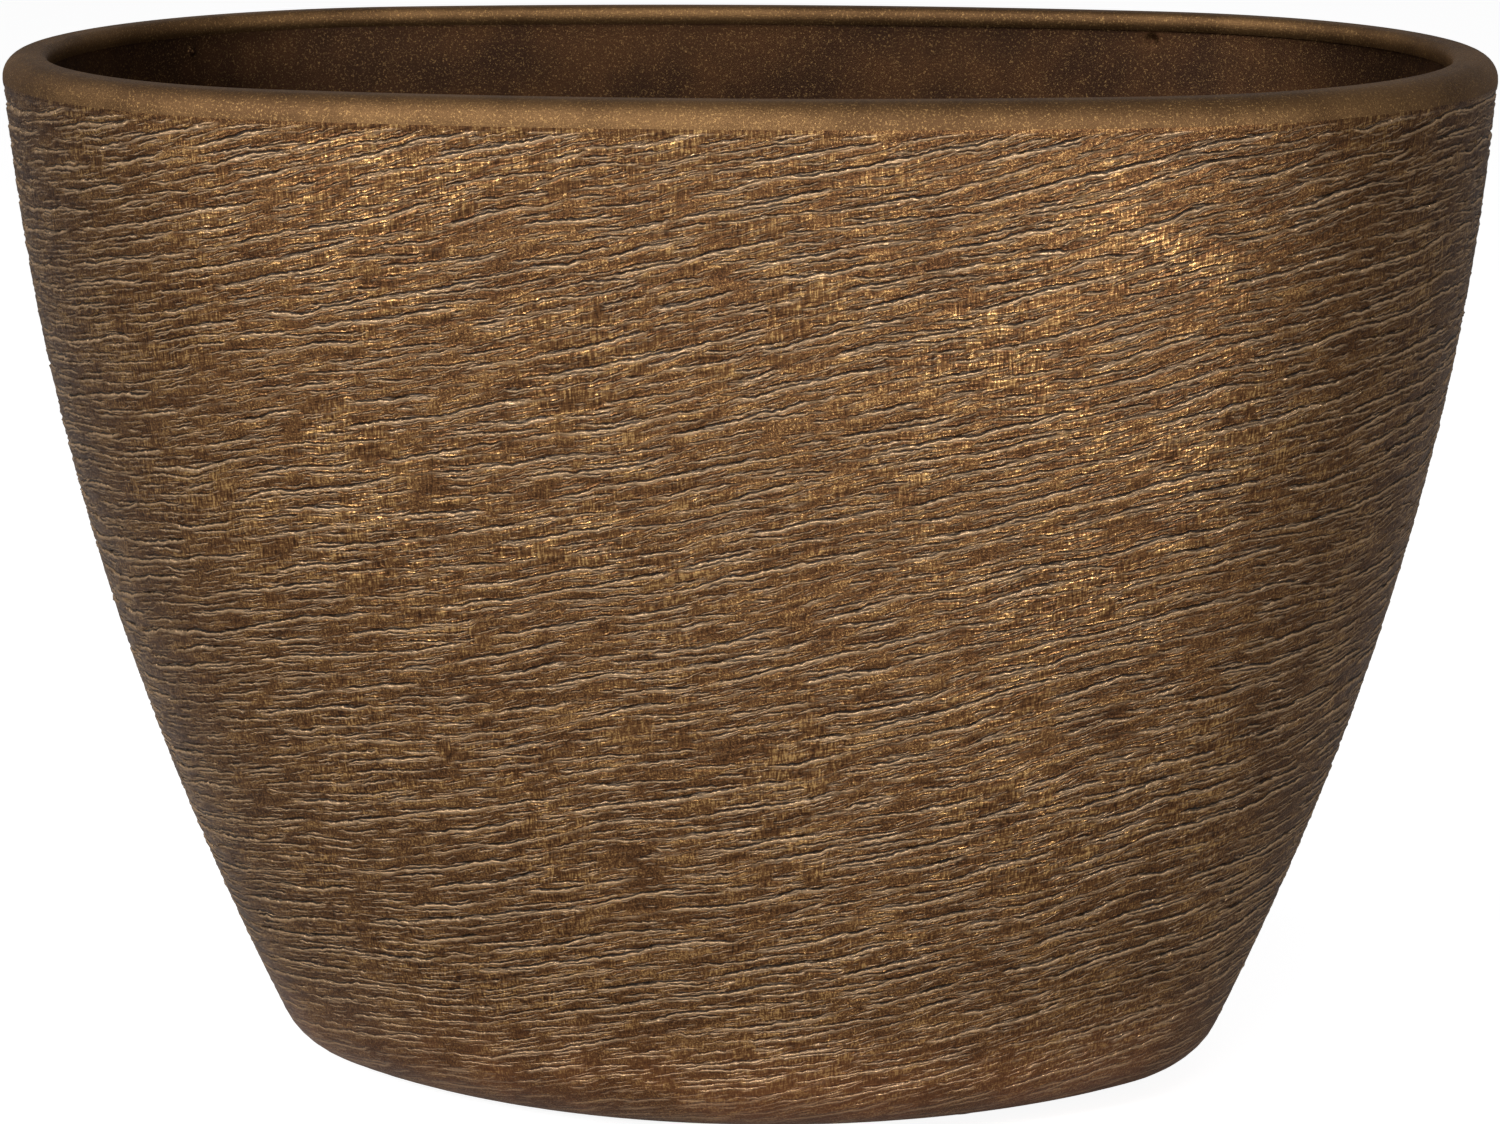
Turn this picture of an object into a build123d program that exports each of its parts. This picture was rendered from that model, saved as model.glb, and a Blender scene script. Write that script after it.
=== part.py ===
from build123d import *
import math
import os

os.makedirs("parts", exist_ok=True)

# Oval flower pot: a cast clay body on four pads, with two drain holes, their plugs and their screens.
# Millimetres, +Z up. The origin lies on the ground under the middle of the pot,
# +X runs along the oval's length and +Y towards its back.

# Clay body, outside
rim_length = 400.0
rim_width = 240.0
rim_side_radius = 555.0
base_length = 251.0
base_width = 164.0
base_end_radius = 50.0
clay_height = 280.0
wall_bow = 14.2
base_corner_radius = 22.0
wall_sections = 7

# Lip
lip_width = 12.0
lip_height = 6.5
lip_inner_height = 5.0
lip_outer_radius = 6.0
lip_inner_radius = 3.0

# Clay body, inside and underneath
wall_thickness = 9.0
floor_thickness = 9.0
floor_corner_radius = 16.0
recess_depth = 8.0
recess_inset = 36.0
recess_end_radius = 20.0
recess_edge_radius = 2.0

# Drain holes
drain_spacing = 112.0
drain_diameter = 18.0
drain_edge_chamfer = 0.8

# Drain plugs
plug_running_clearance = 0.05
plug_seat_clearance = 0.3
plug_top_clearance = 0.6
plug_head_diameter = 27.0
plug_head_thickness = 3.0
plug_head_edge_radius = 1.0
plug_rib_count = 3
plug_rib_height = 1.6
plug_rib_chamfer = 0.4
plug_groove_depth = 0.9
plug_grip_length = 14.0
plug_grip_width = 3.5
plug_grip_height = 4.5
plug_grip_edge_radius = 1.0

# Drain screens
screen_diameter = 56.0
screen_thickness = 1.6
screen_rim_width = 2.2
screen_rim_height = 3.2
screen_hole_diameter = 2.8
screen_hole_pitch = 4.4
screen_seat_clearance = 0.3

# Foot pads
pad_diameter = 15.0
pad_thickness = 3.0
pad_edge_radius = 0.8
pad_spacing = 120.0
pad_inset = 26.5

# Heights that follow from the sizes above
clay_bottom = pad_thickness
clay_top = clay_bottom + clay_height
lip_bottom = clay_top - lip_height
floor_underside = clay_bottom + recess_depth
floor_top = floor_underside + floor_thickness
cavity_top = clay_top - lip_inner_height

drain_sides = (("left", -1), ("right", 1))
pad_rows = (("front", -1), ("back", 1))
on_base = (Align.CENTER, Align.CENTER, Align.MIN)
under_base = (Align.CENTER, Align.CENTER, Align.MAX)


def end_radius_for(half_length, half_width, side_radius):
    # radius of the end arcs that run smoothly into side arcs of the given radius
    across = 2 * side_radius * half_width - half_width**2 - half_length**2
    return across / (2 * (side_radius - half_length))


def side_radius_for(half_length, half_width, end_radius):
    # radius of the side arcs that run smoothly into end arcs of the given radius
    across = (half_length - end_radius) ** 2 + half_width**2 - end_radius**2
    return across / (2 * (half_width - end_radius))


def draw_oval(half_length, half_width, end_radius):
    # four tangent arcs: two ends about points on the X axis, two sides about points on the Y axis
    side_radius = side_radius_for(half_length, half_width, end_radius)
    end_centre = half_length - end_radius
    side_centre = side_radius - half_width
    joint_angle = math.degrees(math.atan2(side_centre, end_centre))
    CenterArc((end_centre, 0), end_radius, -joint_angle, 2 * joint_angle)
    CenterArc((0, -side_centre), side_radius, joint_angle, 180 - 2 * joint_angle)
    CenterArc((-end_centre, 0), end_radius, 180 - joint_angle, 2 * joint_angle)
    CenterArc((0, side_centre), side_radius, 180 + joint_angle, 180 - 2 * joint_angle)


rim_end_radius = end_radius_for(rim_length / 2, rim_width / 2, rim_side_radius)
bow_share = wall_bow / ((rim_length - base_length) / 2)


def wall_oval(height, inset):
    # half length, half width and end radius of the wall at a height, moved inwards by the inset
    share = (height - clay_bottom) / (lip_bottom - clay_bottom)
    opened = share + 4 * bow_share * share * (1 - share)
    half_length = base_length / 2 + (rim_length - base_length) / 2 * opened
    half_width = base_width / 2 + (rim_width - base_width) / 2 * opened
    end_radius = base_end_radius + (rim_end_radius - base_end_radius) * opened
    return half_length - inset, half_width - inset, end_radius - inset


# Clay body: wall, floor, lip and foot ring in one casting
with BuildPart() as pot_body:
    for step in range(wall_sections):
        level = clay_bottom + (lip_bottom - clay_bottom) * step / (wall_sections - 1)
        with BuildSketch(Plane.XY.offset(level)):
            with BuildLine():
                draw_oval(*wall_oval(level, 0))
            make_face()
    loft()
    fillet(pot_body.edges().group_by(Axis.Z)[0], base_corner_radius)

    # upright band of the lip, rounded over on the outside
    with BuildSketch(Plane.XY.offset(lip_bottom)):
        with BuildLine():
            draw_oval(rim_length / 2, rim_width / 2, rim_end_radius)
        make_face()
    extrude(amount=lip_height)
    fillet(pot_body.edges().group_by(Axis.Z)[-1], lip_outer_radius)

    # space for the soil, up to the underside of the lip, with an upright wall behind the lip's band
    for step in range(wall_sections):
        level = floor_top + (cavity_top - floor_top) * step / (wall_sections - 1)
        with BuildSketch(Plane.XY.offset(level)):
            with BuildLine():
                draw_oval(*wall_oval(min(level, lip_bottom), wall_thickness))
            make_face()
    loft(mode=Mode.SUBTRACT)
    floor_face = pot_body.faces().filter_by(Plane.XY).sort_by(Axis.Z)[1]
    fillet(floor_face.edges(), floor_corner_radius)

    # mouth through the lip, which stands inwards past the wall
    with BuildSketch(Plane.XY.offset(cavity_top)):
        with BuildLine():
            draw_oval(rim_length / 2 - lip_width, rim_width / 2 - lip_width, rim_end_radius - lip_width)
        make_face()
    extrude(amount=lip_inner_height, mode=Mode.SUBTRACT)
    mouth_edges = pot_body.faces().sort_by(Axis.Z)[-1].inner_wires().edges()
    fillet(mouth_edges, lip_inner_radius)

    # hollow under the floor, inside the foot ring
    with BuildSketch(Plane.XY.offset(clay_bottom)):
        with BuildLine():
            draw_oval(base_length / 2 - recess_inset, base_width / 2 - recess_inset, recess_end_radius)
        make_face()
    extrude(amount=recess_depth, mode=Mode.SUBTRACT)
    recess_face = pot_body.faces().filter_by(Plane.XY).sort_by(Axis.Z)[1]
    fillet(recess_face.edges(), recess_edge_radius)

    # drain holes, with their edges taken off
    with BuildSketch(Plane.XY.offset(floor_underside)):
        with GridLocations(drain_spacing, 0, 2, 1):
            Circle(drain_diameter / 2)
    extrude(amount=floor_thickness, mode=Mode.SUBTRACT)
    hole_edges = pot_body.edges().filter_by(GeomType.CIRCLE)
    hole_edges = hole_edges.filter_by(lambda edge: math.isclose(edge.radius, drain_diameter / 2))
    chamfer(hole_edges, drain_edge_chamfer)
pot_body.part.label = "pot_body"
export_step(pot_body.part, "parts/pot_body.step")

# Drain plugs: a ribbed shank in the hole, a head under the floor and a grip to pull it by
shank_bottom = floor_underside - plug_seat_clearance
shank_length = floor_thickness + plug_seat_clearance - plug_top_clearance
shank_radius = drain_diameter / 2 - plug_running_clearance
rib_pitch = (shank_length - plug_rib_height) / plug_rib_count
for side_name, side in drain_sides:
    with BuildPart(Plane((side * drain_spacing / 2, 0, shank_bottom))) as drain_plug:
        Cylinder(plug_head_diameter / 2, plug_head_thickness, align=under_base)
        fillet(drain_plug.edges().group_by(Axis.Z)[0], plug_head_edge_radius)
        Cylinder(shank_radius - plug_groove_depth, shank_length, align=on_base)
        for rib in range(1, plug_rib_count + 1):
            with Locations((0, 0, rib * rib_pitch)):
                Cylinder(shank_radius, plug_rib_height, align=on_base)
        rib_edges = drain_plug.edges().filter_by(GeomType.CIRCLE)
        rib_edges = rib_edges.filter_by(lambda edge: math.isclose(edge.radius, shank_radius))
        chamfer(rib_edges, plug_rib_chamfer)
        with Locations((0, 0, -plug_head_thickness)):
            Box(plug_grip_length, plug_grip_width, plug_grip_height, align=under_base)
        grip_edges = drain_plug.faces().sort_by(Axis.Z)[0].edges()
        fillet(grip_edges, plug_grip_edge_radius)
    drain_plug.part.label = f"drain_plug_{side_name}"
    export_step(drain_plug.part, f"parts/drain_plug_{side_name}.step")

# Drain screens: a thin disc with rings of holes and a raised rim
screen_bottom = floor_top + screen_seat_clearance
mesh_radius = screen_diameter / 2 - screen_rim_width - screen_hole_diameter / 2
mesh_rings = int((mesh_radius - screen_hole_diameter / 2) / screen_hole_pitch)
for side_name, side in drain_sides:
    screen_plane = Plane((side * drain_spacing / 2, 0, screen_bottom))
    with BuildPart() as drain_screen:
        with BuildSketch(screen_plane):
            Circle(screen_diameter / 2)
            Circle(screen_hole_diameter / 2, mode=Mode.SUBTRACT)
            for ring in range(1, mesh_rings + 1):
                with PolarLocations(ring * screen_hole_pitch, 6 * ring):
                    Circle(screen_hole_diameter / 2, mode=Mode.SUBTRACT)
        extrude(amount=screen_thickness)
        with BuildSketch(screen_plane):
            Circle(screen_diameter / 2)
            Circle(screen_diameter / 2 - screen_rim_width, mode=Mode.SUBTRACT)
        extrude(amount=screen_rim_height)
    drain_screen.part.label = f"drain_screen_{side_name}"
    export_step(drain_screen.part, f"parts/drain_screen_{side_name}.step")

# Foot pads: on the middle of the foot ring, where the base outline has its side arcs
base_side_radius = side_radius_for(base_length / 2, base_width / 2, base_end_radius)
pad_arc_radius = base_side_radius - pad_inset
pad_reach = math.sqrt(pad_arc_radius**2 - (pad_spacing / 2) ** 2) - (base_side_radius - base_width / 2)
for row_name, row in pad_rows:
    for side_name, side in drain_sides:
        with BuildPart(Plane((side * pad_spacing / 2, row * pad_reach, 0))) as foot_pad:
            Cylinder(pad_diameter / 2, pad_thickness, align=on_base)
            fillet(foot_pad.edges().group_by(Axis.Z)[0], pad_edge_radius)
        foot_pad.part.label = f"foot_pad_{row_name}_{side_name}"
        export_step(foot_pad.part, f"parts/foot_pad_{row_name}_{side_name}.step")

print("pads at", pad_spacing / 2, round(pad_reach, 3), "floor from", floor_underside, "to", floor_top)
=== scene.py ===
import math

import bpy
import numpy as np
from mathutils import Matrix, Vector


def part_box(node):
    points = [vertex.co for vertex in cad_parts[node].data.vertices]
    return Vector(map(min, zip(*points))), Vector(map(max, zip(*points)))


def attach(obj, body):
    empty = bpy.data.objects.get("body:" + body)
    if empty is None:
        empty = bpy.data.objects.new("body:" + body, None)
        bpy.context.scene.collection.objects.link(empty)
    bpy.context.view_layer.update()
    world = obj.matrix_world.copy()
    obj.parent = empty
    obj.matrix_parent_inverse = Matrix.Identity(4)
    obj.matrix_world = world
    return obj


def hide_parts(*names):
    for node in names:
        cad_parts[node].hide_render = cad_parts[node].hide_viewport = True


# Oval flower pot in bronze glaze: a smooth lip and inside, a wrinkled wall, and the small
# parts of its drains and feet. Everything is in metres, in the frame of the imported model.

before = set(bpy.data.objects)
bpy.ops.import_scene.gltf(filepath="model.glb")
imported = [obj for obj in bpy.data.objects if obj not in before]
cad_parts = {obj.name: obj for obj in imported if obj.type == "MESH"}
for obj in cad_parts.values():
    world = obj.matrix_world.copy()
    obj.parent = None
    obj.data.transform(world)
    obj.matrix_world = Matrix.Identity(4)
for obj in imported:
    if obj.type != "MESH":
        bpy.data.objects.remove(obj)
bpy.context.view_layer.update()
print("frame loaded:", len(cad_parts), "nodes")

mm = 0.001

# sizes of the pot's form, as cast
potForm = {
    "rimLength": 400 * mm,
    "rimWidth": 240 * mm,
    "rimSideRadius": 555 * mm,
    "baseLength": 251 * mm,
    "baseWidth": 164 * mm,
    "baseEndRadius": 50 * mm,
    "wallBow": 14.2 * mm,
    "cornerRadius": 22 * mm,
    "wallThickness": 9 * mm,
    "lipWidth": 12 * mm,
    "lipBand": 6.5 * mm,       # upright part of the lip's outside
    "lipInner": 5 * mm,        # how far the lip reaches down inside
    "lipOuterRadius": 6 * mm,
    "lipInnerRadius": 2.2 * mm,
    "floorCorner": 16 * mm,
    "recessInset": 36 * mm,
    "recessEndRadius": 20 * mm,
    "recessEdge": 2 * mm,
    "recessDepth": 8 * mm,
    "floorThickness": 9 * mm,
    "drainRadius": 9 * mm,
    "drainChamfer": 0.8 * mm,
}

# how finely the sheets that make up the pot are divided
potMesh = {
    "wallColumns": 208,        # for each of the four wall pieces
    "wallRows": 470,
    "smoothColumns": 352,
    "cornerSteps": 10,
    "lipOuterSteps": 10,
    "lipInnerSteps": 6,
    "insideRows": 40,
    "floorCornerSteps": 8,
    "recessSteps": 4,
    "holeSides": 48,
    "weld": 0.001 * mm,
    "sameLevel": 0.01 * mm,
    "sharpAngle": math.radians(35),
}

# where each piece of the wall starts, as a share of the way round from the right-hand end
wallStarts = {"wall_right": -0.125, "wall_back": 0.125, "wall_left": 0.375, "wall_front": 0.625}
wallShare = 0.25

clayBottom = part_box("foot_pad_front_left")[1][2]
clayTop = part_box("pot_body")[1][2]
lipBottom = clayTop - potForm["lipBand"]
cavityTop = clayTop - potForm["lipInner"]
floorUnderside = clayBottom + potForm["recessDepth"]
floorTop = floorUnderside + potForm["floorThickness"]

drainSpots = []
for side in ("left", "right"):
    low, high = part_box("drain_plug_" + side)
    drainSpots.append((low[0] + high[0]) / 2)


# ovals and profiles

def endRadiusFor(halfLength, halfWidth, sideRadius):
    return (2 * sideRadius * halfWidth - halfWidth**2 - halfLength**2) / (2 * (sideRadius - halfLength))


rimEndRadius = endRadiusFor(potForm["rimLength"] / 2, potForm["rimWidth"] / 2, potForm["rimSideRadius"])
bowShare = potForm["wallBow"] / ((potForm["rimLength"] - potForm["baseLength"]) / 2)


def wallOval(height, inset=0.0):
    # half length, half width and end radius of the outside of the wall, moved inwards by the inset
    share = min((height - clayBottom) / (lipBottom - clayBottom), 1.0)
    opened = share + 4 * bowShare * share * (1 - share)
    halfLength = potForm["baseLength"] / 2 * (1 - opened) + potForm["rimLength"] / 2 * opened
    halfWidth = potForm["baseWidth"] / 2 * (1 - opened) + potForm["rimWidth"] / 2 * opened
    endRadius = potForm["baseEndRadius"] * (1 - opened) + rimEndRadius * opened
    return halfLength - inset, halfWidth - inset, endRadius - inset


def ovalPoints(halfLength, halfWidth, endRadius, shares):
    # points at these shares of the way round, anticlockwise from the right-hand end
    endCentre = halfLength - endRadius
    sideRadius = (endCentre**2 + halfWidth**2 - endRadius**2) / (2 * (halfWidth - endRadius))
    sideCentre = sideRadius - halfWidth
    joint = math.atan2(sideCentre, endCentre)
    endPart = endRadius * joint
    sidePart = sideRadius * (math.pi / 2 - joint)
    quarter = endPart + sidePart
    way = np.asarray(shares) % 1.0 * 4
    whole = np.floor(way)
    mirrored = whole % 2 == 1
    along = np.where(mirrored, 1 - (way - whole), way - whole) * quarter
    onEnd = along < endPart
    endAngle = along / endRadius
    sideAngle = joint + (along - endPart) / sideRadius
    x = np.where(onEnd, endCentre + endRadius * np.cos(endAngle), sideRadius * np.cos(sideAngle))
    y = np.where(onEnd, endRadius * np.sin(endAngle), sideRadius * np.sin(sideAngle) - sideCentre)
    x = np.where((whole == 1) | (whole == 2), -x, x)
    y = np.where(whole >= 2, -y, y)
    return x, y


def quarterAngles(steps):
    return [math.pi / 2 * step / steps for step in range(1, steps + 1)]


# every station is (half length, half width, end radius, height)

def station(oval, height, inset=0.0):
    return (oval[0] - inset, oval[1] - inset, oval[2] - inset, height)


def cornerStations(steps):
    # rounding from the flat underneath up to where it runs into the wall, at the wall's mean slope
    radius = potForm["cornerRadius"]
    probe = 0.5 * mm
    low, up = wallOval(clayBottom), wallOval(clayBottom + probe)
    slope = math.atan2((up[0] - low[0] + up[1] - low[1]) / 2, probe)
    meeting = clayBottom + radius * (1 - math.sin(slope))
    oval = wallOval(meeting)
    stations = []
    for step in range(steps + 1):
        angle = -math.pi / 2 + (math.pi / 2 - slope) * step / steps
        inset = radius * (math.cos(slope) - math.cos(angle))
        height = meeting + radius * (math.sin(slope) + math.sin(angle))
        stations.append(station(oval, height, inset))
    return stations


corner = cornerStations(potMesh["cornerSteps"])
cornerTop = corner[-1][3]


def wallStations():
    heights = np.linspace(cornerTop, lipBottom, potMesh["wallRows"] + 1)
    return [station(wallOval(height), height) for height in heights]


def lipStations():
    rim = (potForm["rimLength"] / 2, potForm["rimWidth"] / 2, rimEndRadius)
    outer, inner = potForm["lipOuterRadius"], potForm["lipInnerRadius"]
    innerStart = potForm["lipWidth"] - inner
    profile = [(0.0, lipBottom)]
    for angle in quarterAngles(potMesh["lipOuterSteps"]):
        profile.append((outer * (1 - math.cos(angle)), clayTop - outer + outer * math.sin(angle)))
    profile.append((innerStart, clayTop))
    for angle in quarterAngles(potMesh["lipInnerSteps"]):
        profile.append((innerStart + inner * math.sin(angle), clayTop - inner + inner * math.cos(angle)))
    profile += [(potForm["lipWidth"], cavityTop), (potForm["wallThickness"], cavityTop)]
    return [station(rim, height, inset) for inset, height in profile]


def insideStations():
    thickness = potForm["wallThickness"]
    radius = potForm["floorCorner"]
    heights = np.linspace(cavityTop, floorTop + radius, potMesh["insideRows"])
    stations = [station(wallOval(height, thickness), height) for height in heights]
    foot = stations[-1]
    for angle in quarterAngles(potMesh["floorCornerSteps"]):
        height = floorTop + radius * (1 - math.sin(angle))
        stations.append(station(foot[:3], height, radius * (1 - math.cos(angle))))
    return stations


def undersideStations():
    inset = potForm["recessInset"]
    edge = potForm["recessEdge"]
    recess = (potForm["baseLength"] / 2 - inset, potForm["baseWidth"] / 2 - inset, potForm["recessEndRadius"])
    stations = [corner[0], station(recess, clayBottom), station(recess, floorUnderside - edge)]
    for angle in quarterAngles(potMesh["recessSteps"]):
        height = floorUnderside - edge + edge * math.sin(angle)
        stations.append(station(recess, height, edge * (1 - math.cos(angle))))
    return stations


# sheets rolled round the ovals

def activate(sheet):
    bpy.ops.object.select_all(action="DESELECT")
    bpy.context.view_layer.objects.active = sheet
    sheet.select_set(True)


def rolledSheet(name, stations, columns, start=0.0, end=1.0):
    # a flat grid, rolled round the stations from one share of the way round to another
    rows = len(stations) - 1
    bpy.ops.object.select_all(action="DESELECT")
    bpy.ops.mesh.primitive_grid_add(x_subdivisions=columns, y_subdivisions=rows, size=1)
    sheet = bpy.context.object
    sheet.name = name
    sheet.data.name = name
    places = np.empty(len(sheet.data.vertices) * 3)
    sheet.data.vertices.foreach_get("co", places)
    places = places.reshape(-1, 3)
    shares = start + (end - start) * (places[:, 0] + 0.5)
    row = np.rint((places[:, 1] + 0.5) * rows).astype(int)
    for number, (halfLength, halfWidth, endRadius, height) in enumerate(stations):
        here = row == number
        x, y = ovalPoints(halfLength, halfWidth, endRadius, shares[here])
        places[here] = np.stack([x, y, np.full(len(x), height)], 1)
    sheet.data.vertices.foreach_set("co", places.ravel())
    sheet.data.update()
    if end - start == 1:
        bpy.ops.object.mode_set(mode="EDIT")
        bpy.ops.mesh.select_all(action="SELECT")
        bpy.ops.mesh.remove_doubles(threshold=potMesh["weld"])
        bpy.ops.object.mode_set(mode="OBJECT")
    bpy.ops.object.shade_smooth()
    return sheet


def clearSelection(mesh):
    for part in (mesh.polygons, mesh.edges, mesh.vertices):
        part.foreach_set("select", [False] * len(part))


def selectEdges(mesh, test):
    # edges whose two ends both pass the test, in object mode
    clearSelection(mesh)
    for edge in mesh.edges:
        edge.select = all(test(mesh.vertices[index].co) for index in edge.vertices)


def flipFaces(sheet, faces):
    clearSelection(sheet.data)
    for face in faces:
        face.select = True
    activate(sheet)
    bpy.ops.object.mode_set(mode="EDIT")
    bpy.ops.mesh.select_mode(type="FACE")
    bpy.ops.mesh.flip_normals()
    bpy.ops.object.mode_set(mode="OBJECT")


# drain holes

drainReach = potForm["drainRadius"] + 2 * potForm["drainChamfer"]


def nearestDrain(place):
    return min(drainSpots, key=lambda spot: abs(place.x - spot))


def fromDrain(place):
    return math.hypot(place.x - nearestDrain(place), place.y)


def onLevel(place, level):
    return abs(place.z - level) < potMesh["sameLevel"]


def selectHoleRims(mesh, level):
    # an edge that bridges the two holes has its middle far from both, so it stays out
    clearSelection(mesh)
    for edge in mesh.edges:
        first, second = (mesh.vertices[index] for index in edge.vertices)
        middle = (first.co + second.co) / 2
        if fromDrain(middle) < drainReach and onLevel(first.co, level) and onLevel(second.co, level):
            edge.select = first.select = second.select = True


def closeFloor(sheet, level, holeSteps):
    # closes the flat ring at this height round the drain holes, and drops their walls
    rimRadius = potForm["drainRadius"] + potForm["drainChamfer"]
    activate(sheet)
    bpy.ops.object.mode_set(mode="EDIT")
    for spot in drainSpots:
        bpy.ops.mesh.select_all(action="DESELECT")
        bpy.ops.mesh.primitive_circle_add(
            vertices=potMesh["holeSides"], radius=rimRadius, location=(spot, 0, level))
    bpy.ops.object.mode_set(mode="OBJECT")
    selectEdges(sheet.data, lambda place: onLevel(place, level))
    bpy.ops.object.mode_set(mode="EDIT")
    bpy.ops.mesh.select_mode(type="EDGE")
    bpy.ops.mesh.fill(use_beauty=True)
    bpy.ops.mesh.normals_make_consistent(inside=False)
    bpy.ops.object.mode_set(mode="OBJECT")
    selectHoleRims(sheet.data, level)
    for radius, drop in holeSteps:
        bpy.ops.object.mode_set(mode="EDIT")
        bpy.ops.mesh.extrude_region_move(TRANSFORM_OT_translate={"value": (0, 0, -drop)})
        bpy.ops.object.mode_set(mode="OBJECT")
        for vertex in sheet.data.vertices:
            if vertex.select:
                spot = nearestDrain(vertex.co)
                share = radius / fromDrain(vertex.co)
                vertex.co.x = spot + (vertex.co.x - spot) * share
                vertex.co.y *= share


def faceFloor(sheet, level, up):
    # turns the flat faces at this height the way the rest of the sheet needs
    flipFaces(sheet, [face for face in sheet.data.polygons
                      if onLevel(face.center, level) and (face.normal.z > 0) != up])


def faceHolesInward(sheet, top):
    # turns the hole walls below this height towards the hole's own middle
    wrong = []
    for face in sheet.data.polygons:
        centre, normal = face.center, face.normal
        outward = normal.x * (centre.x - nearestDrain(centre)) + normal.y * centre.y
        if centre.z < top - potMesh["sameLevel"] and fromDrain(centre) < drainReach and outward > 0:
            wrong.append(face)
    flipFaces(sheet, wrong)


print("rolling the pot's sheets")
wallRows = wallStations()
wallPieces = [rolledSheet(name, wallRows, potMesh["wallColumns"], start, start + wallShare)
              for name, start in wallStarts.items()]
lip = rolledSheet("lip", lipStations(), potMesh["smoothColumns"] * 2)
footCorner = rolledSheet("foot_corner", corner, potMesh["smoothColumns"] * 2)
inside = rolledSheet("inside", insideStations(), potMesh["smoothColumns"])
underside = rolledSheet("underside", undersideStations(), potMesh["smoothColumns"])
flipFaces(underside, underside.data.polygons)

print("closing the floors round the drain holes")
chamfer = potForm["drainChamfer"]
holeSteps = (
    (potForm["drainRadius"], chamfer),
    (potForm["drainRadius"], floorTop - floorUnderside - 2 * chamfer),
    (potForm["drainRadius"] + chamfer, chamfer))
closeFloor(inside, floorTop, holeSteps)
faceFloor(inside, floorTop, True)
faceHolesInward(inside, floorTop)
closeFloor(underside, floorUnderside, ())
faceFloor(underside, floorUnderside, False)
for sheet in (inside, underside):
    activate(sheet)
    bpy.ops.object.shade_smooth_by_angle(angle=potMesh["sharpAngle"])


# two flaws of the casting, high on the inside of the back wall

insideFlaws = {
    "pimple": {"share": 0.426, "below": 4.6 * mm, "radius": 1.5 * mm, "rise": 1.2 * mm},
    "pit": {"share": 0.141, "below": 3.2 * mm, "radius": 2.6 * mm, "rise": -1.0 * mm},
}
# the mesh is made finer in rings round a flaw: width of each, in the flaw's radius, and cuts
flawRings = ((3.0, 2), (1.6, 2), (1.3, 1))
flawMargin = 2 * mm
flawTurn = 3                   # the flaws point this much more along Y than their place does


def pressFlaws(sheet):
    for flaw in insideFlaws.values():
        height = cavityTop - flaw["below"]
        x, y = ovalPoints(*wallOval(height, potForm["wallThickness"]), [flaw["share"]])
        centre = Vector((x[0], y[0], height))
        for width, cuts in flawRings:
            near = flaw["radius"] * width + flawMargin
            selectEdges(sheet.data, lambda place: (place - centre).length < near)
            activate(sheet)
            bpy.ops.object.mode_set(mode="EDIT")
            bpy.ops.mesh.select_mode(type="EDGE")
            bpy.ops.mesh.subdivide(number_cuts=cuts)
            bpy.ops.object.mode_set(mode="OBJECT")
        outward = Vector((centre.x, centre.y * flawTurn, 0)).normalized()
        for vertex in sheet.data.vertices:
            away = (vertex.co - centre).length / flaw["radius"]
            if away < 1:
                vertex.co -= outward * flaw["rise"] * (1 - away**2)**2
    sheet.data.update()


pressFlaws(inside)
print("flaws pressed,", len(inside.data.polygons), "faces inside")


# camera at the photograph's place

cameraPlace = {
    "spot": (113.4 * mm, -1244.85 * mm, 422.39 * mm),
    "heading": -0.0902,        # turn about Z of the way it looks, from +Y
    "down": 0.2209,
    "roll": -0.0029,
    "focalPixels": 4656.95,
    "imageWidth": 1500,
    "sensor": 36.0,
}
cameraData = bpy.data.cameras.new("camera")
cameraData.sensor_width = cameraPlace["sensor"]
cameraData.lens = cameraPlace["focalPixels"] * cameraPlace["sensor"] / cameraPlace["imageWidth"]
camera = bpy.data.objects.new("camera", cameraData)
heading = Matrix.Rotation(-cameraPlace["heading"], 4, "Z")
tilt = Matrix.Rotation(math.pi / 2 - cameraPlace["down"], 4, "X")
roll = Matrix.Rotation(cameraPlace["roll"], 4, "Z")
camera.matrix_world = Matrix.Translation(cameraPlace["spot"]) @ (heading @ tilt) @ roll
bpy.context.scene.collection.objects.link(camera)
bpy.context.scene.camera = camera


# node helpers, which work in shader and geometry trees alike

def feed(tree, socket, value):
    # links a socket, or sets a plain value
    if isinstance(value, bpy.types.NodeSocket):
        tree.links.new(value, socket)
    else:
        socket.default_value = value


def calc(tree, operation, *values):
    node = tree.nodes.new("ShaderNodeMath")
    node.operation = operation
    for socket, value in zip(node.inputs, values):
        feed(tree, socket, value)
    return node.outputs[0]


def vectorCalc(tree, operation, *values):
    node = tree.nodes.new("ShaderNodeVectorMath")
    node.operation = operation
    for socket, value in zip(node.inputs, values):
        feed(tree, socket, value)
    return node.outputs[0]


def ramp(tree, value, fromLow, fromHigh, toLow=0.0, toHigh=1.0, smooth=True):
    node = tree.nodes.new("ShaderNodeMapRange")
    node.interpolation_type = "SMOOTHSTEP" if smooth else "LINEAR"
    for socket, given in zip(node.inputs, (value, fromLow, fromHigh, toLow, toHigh)):
        feed(tree, socket, given)
    return node.outputs[0]


def noise(tree, vector, scale=1.0, detail=2.0, roughness=0.5):
    node = tree.nodes.new("ShaderNodeTexNoise")
    for name, given in (("Vector", vector), ("Scale", scale), ("Detail", detail), ("Roughness", roughness)):
        feed(tree, node.inputs[name], given)
    return node.outputs[0]


def joinXYZ(tree, x, y, z):
    node = tree.nodes.new("ShaderNodeCombineXYZ")
    for socket, value in zip(node.inputs, (x, y, z)):
        feed(tree, socket, value)
    return node.outputs[0]


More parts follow.
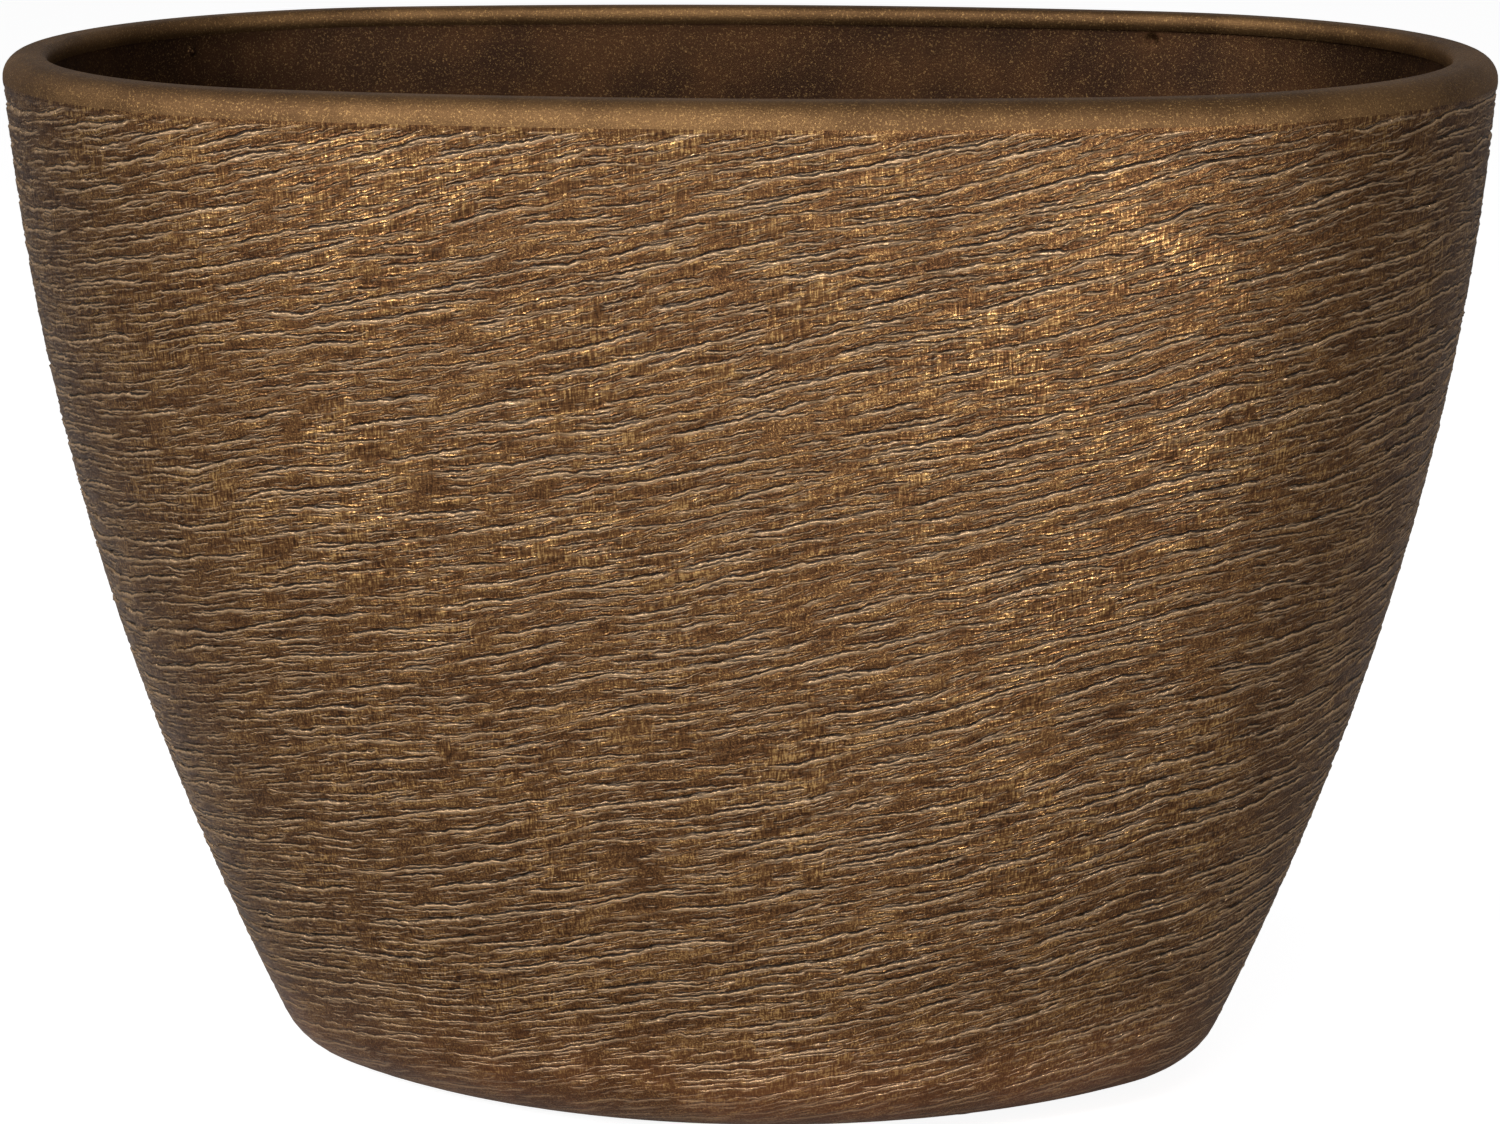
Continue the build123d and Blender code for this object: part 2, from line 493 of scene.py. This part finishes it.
def splitXYZ(tree, vector):
    node = tree.nodes.new("ShaderNodeSeparateXYZ")
    feed(tree, node.inputs[0], vector)
    return node.outputs


def inMillimetres(tree, place):
    return vectorCalc(tree, "MULTIPLY", place, (1 / mm, 1 / mm, 1 / mm))


def stretched(tree, x, y, size, third):
    # a place for a noise that is this large across the ground, with its own third part
    return joinXYZ(tree, calc(tree, "DIVIDE", x, size), calc(tree, "DIVIDE", y, size), third)


def blendColours(tree, share, first, second):
    node = tree.nodes.new("ShaderNodeMix")
    node.data_type = "RGBA"
    for socket, value in zip((node.inputs["Factor"], node.inputs[6], node.inputs[7]), (share, first, second)):
        feed(tree, socket, value)
    return node.outputs[2]


def colour(red, green, blue):
    # a colour as picked on screen, 0 to 255, made linear
    def straight(value):
        value /= 255
        return value / 12.92 if value <= 0.04045 else ((value + 0.055) / 1.055) ** 2.4
    return straight(red), straight(green), straight(blue), 1.0


# wrinkles of the wall, in millimetres

wrinkles = {
    "slant": 0.21,               # rise of the creases along the pot's length
    "swell": (95.0, 9.0),        # size of the slow bends in the creases, and their height
    "waver": (17.0, 1.3),        # size of the quick bends, and their height
    "jag": (1.5, 0.85),          # size of the smallest bends, and their height
    "facet": (12.0, 1.9, 0.42),  # length, height and depth of the faces between the creases
    "calmBottom": (0.0, 45.0),   # the wrinkles grow to full depth between these heights above the foot
    "calmTop": (2.4, 0.8),       # and fade out between these depths below the lip
    "meshSpread": 0.35,          # how much wider the creases are on the mesh, which is coarser
}

# each layer of lines: their spacing, how far each wanders and over what length, how long they run,
# how much of the wall has them, their width and depth, and the raised side below, which falls away
creaseLayers = [
    {"spacing": 5.2, "wander": 1.10, "bend": 24.0, "run": 20.0, "share": 0.55, "width": 0.34, "depth": 0.62,
     "edge": 0.30, "fall": 0.9, "lean": 0.0},
    {"spacing": 2.6, "wander": 1.10, "bend": 14.0, "run": 10.0, "share": 0.53, "width": 0.26, "depth": 0.50,
     "edge": 0.24, "fall": 0.6, "lean": 0.07},
    {"spacing": 1.4, "wander": 1.20, "bend": 8.0, "run": 6.0, "share": 0.50, "width": 0.17, "depth": 0.28,
     "edge": 0.12, "fall": 0.4, "lean": -0.07},
]

# what tells one line from the next, for its own bends and for where it shows
lineKeys = {"perLine": 3.71, "perLayer": 17.3, "showing": 91.7}
showingFade = (-0.03, 0.10)
leanAcross = 0.6               # share of a layer's lean that it has along Y
creaseReach = 1.5              # a cut ends this many of its widths from its middle
ridgeStart = 0.4
finerStrength = 0.6            # how fast shallower layers get paler


def creaseLines(tree, x, y, flow, layer, number, spread):
    # cut and raised side of one layer of lines that each start, wander and end on their own
    lean = layer["lean"]
    crossing = calc(tree, "MULTIPLY_ADD", x, lean, calc(tree, "MULTIPLY_ADD", y, lean * leanAcross, flow))
    phase = calc(tree, "DIVIDE", crossing, layer["spacing"])
    line = calc(tree, "ROUND", phase)
    lineKey = calc(tree, "MULTIPLY_ADD", line, lineKeys["perLine"], lineKeys["perLayer"] * number)
    own = noise(tree, stretched(tree, x, y, layer["bend"], lineKey), detail=3.0, roughness=0.6)
    shift = calc(tree, "MULTIPLY", calc(tree, "SUBTRACT", own, 0.5), layer["wander"])
    fromLine = calc(tree, "SUBTRACT", calc(tree, "SUBTRACT", phase, line), shift)
    across = calc(tree, "MULTIPLY", fromLine, layer["spacing"])
    showingKey = calc(tree, "ADD", lineKey, lineKeys["showing"])
    showing = noise(tree, stretched(tree, x, y, layer["run"], showingKey))
    present = ramp(tree, showing, *(1 - layer["share"] + fade for fade in showingFade))
    width = calc(tree, "MULTIPLY_ADD", present, layer["width"], spread)
    cutEnd = calc(tree, "MULTIPLY", width, creaseReach)
    cut = ramp(tree, calc(tree, "ABSOLUTE", across), 0.0, cutEnd, 1.0, 0.0)
    below = calc(tree, "SUBTRACT", calc(tree, "MULTIPLY", across, -1.0), width)
    rise = ramp(tree, below, calc(tree, "MULTIPLY", width, -1.0), calc(tree, "MULTIPLY", width, ridgeStart))
    side = calc(tree, "MULTIPLY", rise, ramp(tree, below, 0.0, layer["fall"], 1.0, 0.0))
    return calc(tree, "MULTIPLY", cut, present), calc(tree, "MULTIPLY", side, present)


def calmShare(tree, z):
    # how far the wrinkles have grown at this height, in millimetres
    bottom = [clayBottom / mm + rise for rise in wrinkles["calmBottom"]]
    top = [lipBottom / mm - depth for depth in wrinkles["calmTop"]]
    grown = ramp(tree, z, *bottom, smooth=False)
    return calc(tree, "MULTIPLY", grown, ramp(tree, z, *top, 1.0, 0.0))


def buildRelief(name, kind, spread):
    # group that turns a place on the pot, in metres, into the height of the wrinkles there
    tree = bpy.data.node_groups.new(name, kind)
    tree.interface.new_socket("Place", in_out="INPUT", socket_type="NodeSocketVector")
    for output in ("Height", "Crease", "RidgeHighlight", "Tone", "Flow"):
        tree.interface.new_socket(output, in_out="OUTPUT", socket_type="NodeSocketFloat")
    start = tree.nodes.new("NodeGroupInput")
    end = tree.nodes.new("NodeGroupOutput")
    place = inMillimetres(tree, start.outputs[0])
    x, y, z = splitXYZ(tree, place)
    flow = calc(tree, "MULTIPLY_ADD", x, -wrinkles["slant"], z)
    for bend in ("swell", "waver", "jag"):
        size, lift = wrinkles[bend]
        bent = calc(tree, "SUBTRACT", noise(tree, place, 1 / size), 0.5)
        flow = calc(tree, "MULTIPLY_ADD", bent, lift, flow)
    calm = calmShare(tree, z)
    long, high, deep = wrinkles["facet"]
    facet = noise(tree, stretched(tree, x, y, long, calc(tree, "DIVIDE", flow, high)))
    height = calc(tree, "MULTIPLY", calc(tree, "SUBTRACT", facet, 1.0), deep)
    crease = ridge_highlight = 0.0
    for number, layer in enumerate(creaseLayers):
        cut, side = creaseLines(tree, x, y, flow, layer, number, spread)
        height = calc(tree, "MULTIPLY_ADD", cut, -layer["depth"], height)
        height = calc(tree, "MULTIPLY_ADD", side, layer["edge"], height)
        strength = (layer["depth"] / creaseLayers[0]["depth"]) ** finerStrength
        crease = calc(tree, "MAXIMUM", crease, calc(tree, "MULTIPLY", cut, strength))
        ridge_highlight = calc(tree, "MAXIMUM", ridge_highlight, calc(tree, "MULTIPLY", side, strength))
    shown = calc(tree, "SQRT", calm)
    feed(tree, end.inputs["Height"], calc(tree, "MULTIPLY", height, calm))
    # the crease mask marks where the glaze is painted near-black as shade
    feed(tree, end.inputs["Crease"], calc(tree, "MULTIPLY", crease, shown))
    # the ridge mask marks where the glaze is painted pale as a highlight
    feed(tree, end.inputs["RidgeHighlight"], calc(tree, "MULTIPLY", ridge_highlight, shown))
    feed(tree, end.inputs["Tone"], facet)
    feed(tree, end.inputs["Flow"], flow)
    return tree


print("building the relief")
reliefShader = buildRelief("wrinkle relief", "ShaderNodeTree", 0.0)
reliefMesh = buildRelief("wrinkle relief on mesh", "GeometryNodeTree", wrinkles["meshSpread"])


def pressWrinkles(sheet):
    # moves the wall's points by the relief and remembers by how much, in millimetres
    tree = bpy.data.node_groups.new("press wrinkles", "GeometryNodeTree")
    for way in ("INPUT", "OUTPUT"):
        tree.interface.new_socket("Geometry", in_out=way, socket_type="NodeSocketGeometry")
    start = tree.nodes.new("NodeGroupInput")
    end = tree.nodes.new("NodeGroupOutput")
    relief = tree.nodes.new("GeometryNodeGroup")
    relief.node_tree = reliefMesh
    tree.links.new(tree.nodes.new("GeometryNodeInputPosition").outputs[0], relief.inputs[0])
    store = tree.nodes.new("GeometryNodeStoreNamedAttribute")
    store.data_type = "FLOAT"
    store.domain = "POINT"
    store.inputs["Name"].default_value = "pressed"
    tree.links.new(start.outputs[0], store.inputs["Geometry"])
    tree.links.new(relief.outputs["Height"], store.inputs["Value"])
    move = tree.nodes.new("GeometryNodeSetPosition")
    tree.links.new(store.outputs[0], move.inputs["Geometry"])
    scaled = tree.nodes.new("ShaderNodeVectorMath")
    scaled.operation = "SCALE"
    tree.links.new(tree.nodes.new("GeometryNodeInputNormal").outputs[0], scaled.inputs[0])
    feed(tree, scaled.inputs["Scale"], calc(tree, "MULTIPLY", relief.outputs["Height"], mm))
    tree.links.new(scaled.outputs[0], move.inputs["Offset"])
    tree.links.new(move.outputs[0], end.inputs[0])
    modifier = sheet.modifiers.new("wrinkles", "NODES")
    modifier.node_group = tree
    activate(sheet)
    bpy.ops.object.modifier_apply(modifier="wrinkles")
    bpy.data.node_groups.remove(tree)


print("pressing the wrinkles into the wall")
for piece in wallPieces + [footCorner]:
    pressWrinkles(piece)


# materials

def newMaterial(name):
    material = bpy.data.materials.new(name)
    material.use_nodes = True
    tree = material.node_tree
    return material, tree, tree.nodes["Principled BSDF"]


glazeColours = {
    "body": colour(104, 70, 41),
    "gold": colour(202, 160, 102),
    "dark": colour(58, 36, 21),
    # the crease colour is near-black painted shade in the creases, partly also the darker glaze that gathers
    # there
    "crease": colour(14, 9, 7),
    # the ridge colour is a painted highlight on the raised side below each crease, where light from above
    # falls
    "ridge_highlight": colour(255, 214, 168),
    "copper": colour(150, 96, 62),
}

# the marks that all finishes share, each with its roughness
speckleMarks = {"Grain": 0.8, "Fleck": 0.8, "Patches": 0.65}
speckleSizes = {"Grain": "Grain Size", "Fleck": "Fleck Size", "Patches": "Patch Size"}
usualSizes = {"Grain Size": 0.5, "Fleck Size": 0.6, "Patch Size": 34.0}
speckleDetail = 3.0
fleckRange = (0.54, 0.68)


def buildSpeckle():
    # group for fine grain, flecks and broad patches, with their sizes in millimetres
    tree = bpy.data.node_groups.new("speckle", "ShaderNodeTree")
    tree.interface.new_socket("Place", in_out="INPUT", socket_type="NodeSocketVector")
    for name, usual in usualSizes.items():
        tree.interface.new_socket(name, in_out="INPUT", socket_type="NodeSocketFloat").default_value = usual
    for name in speckleMarks:
        tree.interface.new_socket(name, in_out="OUTPUT", socket_type="NodeSocketFloat")
    start = tree.nodes.new("NodeGroupInput")
    end = tree.nodes.new("NodeGroupOutput")
    place = inMillimetres(tree, start.outputs["Place"])
    for name, roughness in speckleMarks.items():
        scale = calc(tree, "DIVIDE", 1.0, start.outputs[speckleSizes[name]])
        value = noise(tree, place, scale, speckleDetail, roughness)
        feed(tree, end.inputs[name], ramp(tree, value, *fleckRange) if name == "Fleck" else value)
    return tree


speckle = buildSpeckle()


def addGroup(tree, group, place, sizes):
    node = tree.nodes.new("ShaderNodeGroup")
    node.node_tree = group
    feed(tree, node.inputs["Place"], place)
    for name, size in sizes.items():
        node.inputs[name].default_value = size
    return node.outputs


def addBump(tree, shader, height, distance):
    bump = tree.nodes.new("ShaderNodeBump")
    bump.inputs["Strength"].default_value = 1.0
    bump.inputs["Distance"].default_value = distance
    feed(tree, bump.inputs["Height"], height)
    feed(tree, shader.inputs["Normal"], bump.outputs[0])


# the wall's glaze, with sizes in millimetres; a range is where its mark starts and is complete
wallLook = {
    "marks": {"Grain Size": 0.48, "Patch Size": 34.0},
    "warpScale": (1900.0, 1900.0, 230.0),   # threads up and down, to the metre
    "warpShare": 0.6,
    "weftLength": 3.6,                      # threads along the creases
    "weftHeight": 0.42,
    "clothRange": (0.42, 0.60, 0.25, 0.75),
    "patchTone": 0.3,
    "facetTone": 0.7,
    "threadTone": 2.6,
    "bodyRange": (1.50, 1.82),
    "goldRange": (1.82, 2.20, 0.0, 0.85),
    "copperShare": 0.6,
    "copperHeights": (45.0, 5.0),
    "copperPatches": (0.40, 0.60, 0.3, 0.8),
    # how strongly the raised sides are painted pale as a highlight
    "ridgeHighlightShare": 0.8,
    # how strongly the creases are painted dark as shade
    "creaseShadeShare": 0.95,
    "metallic": (0.9, 0.1),                 # between the creases, and in them
    "roughRange": (0.35, 0.65, 0.48, 0.30),
    "threadDepth": 0.22,
}


def clothPrint(tree, place, x, y, flow, marks):
    # print of the cloth that the wrinkles come from, over the glaze's own grain
    warpPlace = vectorCalc(tree, "MULTIPLY", place, wallLook["warpScale"])
    warp = noise(tree, warpPlace, detail=1.0)
    rows = calc(tree, "DIVIDE", flow, wallLook["weftHeight"])
    weftPlace = stretched(tree, x, y, wallLook["weftLength"], rows)
    weft = calc(tree, "MULTIPLY", noise(tree, weftPlace, detail=1.0), 1 - wallLook["warpShare"])
    woven = calc(tree, "MULTIPLY_ADD", warp, wallLook["warpShare"], weft)
    share = ramp(tree, marks["Patches"], *wallLook["clothRange"])
    return calc(tree, "MULTIPLY_ADD", share, calc(tree, "SUBTRACT", woven, marks["Grain"]), marks["Grain"])


def wallGlaze():
    material, tree, shader = newMaterial("wrinkled bronze glaze")
    place = tree.nodes.new("ShaderNodeTexCoord").outputs["Object"]
    relief = addGroup(tree, reliefShader, place, {})
    marks = addGroup(tree, speckle, place, wallLook["marks"])
    x, y, z = splitXYZ(tree, inMillimetres(tree, place))
    threads = clothPrint(tree, place, x, y, relief["Flow"], marks)
    facets = calc(tree, "MULTIPLY", relief["Tone"], wallLook["facetTone"])
    shade = calc(tree, "MULTIPLY_ADD", marks["Patches"], wallLook["patchTone"], facets)
    shade = calc(tree, "MULTIPLY_ADD", threads, wallLook["threadTone"], shade)
    body = ramp(tree, shade, *wallLook["bodyRange"])
    base = blendColours(tree, body, glazeColours["dark"], glazeColours["body"])
    base = blendColours(tree, ramp(tree, shade, *wallLook["goldRange"]), base, glazeColours["gold"])
    # redder towards the foot
    reddened = blendColours(tree, wallLook["copperShare"], base, glazeColours["copper"])
    low = ramp(tree, z, *wallLook["copperHeights"])
    patchy = ramp(tree, marks["Patches"], *wallLook["copperPatches"])
    base = blendColours(tree, calc(tree, "MULTIPLY", low, patchy), base, reddened)
    # the creases are painted near-black as shade, and the raised side below each crease is painted pale as a
    # highlight
    for mark, share, tone in (("RidgeHighlight", "ridgeHighlightShare", "ridge_highlight"), ("Crease", "creaseShadeShare", "crease")):
        marked = calc(tree, "MULTIPLY", relief[mark], wallLook[share])
        base = blendColours(tree, marked, base, glazeColours[tone])
    feed(tree, shader.inputs["Base Color"], base)
    feed(tree, shader.inputs["Metallic"],
         ramp(tree, relief["Crease"], 0.0, 1.0, *wallLook["metallic"], smooth=False))
    feed(tree, shader.inputs["Roughness"], ramp(tree, threads, *wallLook["roughRange"]))
    # what the mesh is too coarse to show goes into the bump
    pressed = tree.nodes.new("ShaderNodeAttribute")
    pressed.attribute_name = "pressed"
    rest = calc(tree, "SUBTRACT", relief["Height"], pressed.outputs["Fac"])
    addBump(tree, shader, calc(tree, "MULTIPLY_ADD", threads, wallLook["threadDepth"], rest), mm)
    return material


# smooth finishes; the roughness is given for the finest and the coarsest grain
smoothLooks = {
    "lip": {
        "name": "lip glaze", "base": colour(90, 64, 38), "light": colour(114, 84, 52),
        "fleck": glazeColours["gold"], "fleckShare": 0.6, "metallic": 0.85, "rough": (0.44, 0.60),
        "grain": 0.48, "patch": 34.0, "bump": 0.16 * mm},
    # the inside's brown is much darker than the lip's: painted shade of the pot's hollow, used on the
    # underside as well
    "inside": {
        "name": "inside glaze with painted shade", "base": colour(46, 26, 12), "light": colour(68, 42, 21),
        "fleck": glazeColours["gold"], "fleckShare": 0.3, "metallic": 0.85, "rough": (0.46, 0.60),
        "grain": 0.48, "patch": 34.0, "bump": 0.1 * mm},
    "drain_plug": {
        "name": "plug rubber", "base": colour(34, 33, 32), "light": colour(48, 46, 44),
        "fleck": colour(92, 88, 84), "fleckShare": 0.25, "metallic": 0.0, "rough": (0.62, 0.82),
        "grain": 0.35, "patch": 6.0, "bump": 0.05 * mm},
    "drain_screen": {
        "name": "screen plastic", "base": colour(52, 42, 34), "light": colour(66, 54, 44),
        "fleck": colour(110, 92, 74), "fleckShare": 0.2, "metallic": 0.0, "rough": (0.42, 0.58),
        "grain": 0.3, "patch": 9.0, "bump": 0.04 * mm},
    "foot_pad": {
        "name": "pad rubber", "base": colour(62, 60, 58), "light": colour(80, 77, 74),
        "fleck": colour(120, 116, 112), "fleckShare": 0.25, "metallic": 0.0, "rough": (0.68, 0.88),
        "grain": 0.3, "patch": 5.0, "bump": 0.05 * mm},
}
patchRange = (0.35, 0.65)
grainTone = (0.50, 0.30, 0.0, 0.5)
grainRange = (0.3, 0.7)


def smoothFinish(look):
    # patches of two tones, flecks, and fine grain in the sheen and the relief
    material, tree, shader = newMaterial(look["name"])
    place = tree.nodes.new("ShaderNodeTexCoord").outputs["Object"]
    marks = addGroup(tree, speckle, place, {"Grain Size": look["grain"], "Patch Size": look["patch"]})
    tone = blendColours(tree, ramp(tree, marks["Patches"], *patchRange), look["base"], look["light"])
    tone = blendColours(tree, calc(tree, "MULTIPLY", marks["Fleck"], look["fleckShare"]), tone, look["fleck"])
    tone = blendColours(tree, ramp(tree, marks["Grain"], *grainTone), tone, look["base"])
    feed(tree, shader.inputs["Base Color"], tone)
    shader.inputs["Metallic"].default_value = look["metallic"]
    fine, coarse = look["rough"]
    feed(tree, shader.inputs["Roughness"], ramp(tree, marks["Grain"], *grainRange, coarse, fine))
    addBump(tree, shader, marks["Grain"], look["bump"])
    return material


print("mixing the finishes")
wallMaterial = wallGlaze()
finishes = {name: smoothFinish(look) for name, look in smoothLooks.items()}
for piece in wallPieces + [footCorner]:
    piece.data.materials.append(wallMaterial)
lip.data.materials.append(finishes["lip"])
for piece in (inside, underside):
    piece.data.materials.append(finishes["inside"])
for prefix in ("drain_plug", "drain_screen", "foot_pad"):
    for name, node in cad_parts.items():
        if name.startswith(prefix):
            node.data.materials.clear()
            node.data.materials.append(finishes[prefix])

for piece in wallPieces + [lip, footCorner, inside, underside]:
    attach(piece, "pot")
    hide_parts("pot_body")


# floor and lights

studioFloor = {
    "size": 30,
    "below": 0.1 * mm,
    "grey": 0.45,
    "roughness": 0.9,
    "glow": 0.86,              # only the camera sees it, so that the background is white
}


def addFloor():
    bpy.ops.object.select_all(action="DESELECT")
    bpy.ops.mesh.primitive_plane_add(size=studioFloor["size"], location=(0, 0, -studioFloor["below"]))
    ground = bpy.context.object
    ground.name = "floor"
    material, tree, shader = newMaterial("pale floor")
    shader.inputs["Base Color"].default_value = (studioFloor["grey"],) * 3 + (1,)
    shader.inputs["Roughness"].default_value = studioFloor["roughness"]
    path = tree.nodes.new("ShaderNodeLightPath")
    shader.inputs["Emission Strength"].default_value = 1.0
    feed(tree, shader.inputs["Emission Color"],
         calc(tree, "MULTIPLY", path.outputs["Is Camera Ray"], studioFloor["glow"]))
    ground.data.materials.append(material)


# each softbox: its bearing from the front and its rise, in degrees, then width, height and power
softboxes = {
    "right_low": (26, 8, 0.20, 0.36, 15.0),
    "left_low": (-38, 20, 0.20, 0.36, 13.0),
    "far_left": (-80, 42, 0.35, 0.80, 4.0),
    "front_high": (-28, 50, 0.30, 0.45, 7.0),
    "right_high": (20, 52, 0.30, 0.45, 2.5),
}
softboxReach = 1.6
softboxAim = Vector((0, 0, 0.15))
worldColour = (0.2, 0.2, 0.205, 1)


def addSoftbox(name, bearing, rise, width, tall, power):
    level = softboxReach * math.cos(math.radians(rise))
    turn = math.radians(bearing)
    height = softboxReach * math.sin(math.radians(rise))
    away = Vector((level * math.sin(turn), -level * math.cos(turn), height))
    light = bpy.data.lights.new(name, "AREA")
    light.shape = "RECTANGLE"
    light.size = width
    light.size_y = tall
    light.energy = power
    lamp = bpy.data.objects.new(name, light)
    lamp.location = softboxAim + away
    lamp.rotation_euler = (-away).to_track_quat("-Z", "Y").to_euler()
    bpy.context.scene.collection.objects.link(lamp)


print("lighting the studio")
addFloor()
for name, values in softboxes.items():
    addSoftbox(name, *values)
world = bpy.data.worlds.new("studio")
bpy.context.scene.world = world
world.use_nodes = True
background = world.node_tree.nodes["Background"]
background.inputs["Color"].default_value = worldColour
background.inputs["Strength"].default_value = 1.0
bpy.context.scene.view_settings.view_transform = "Standard"
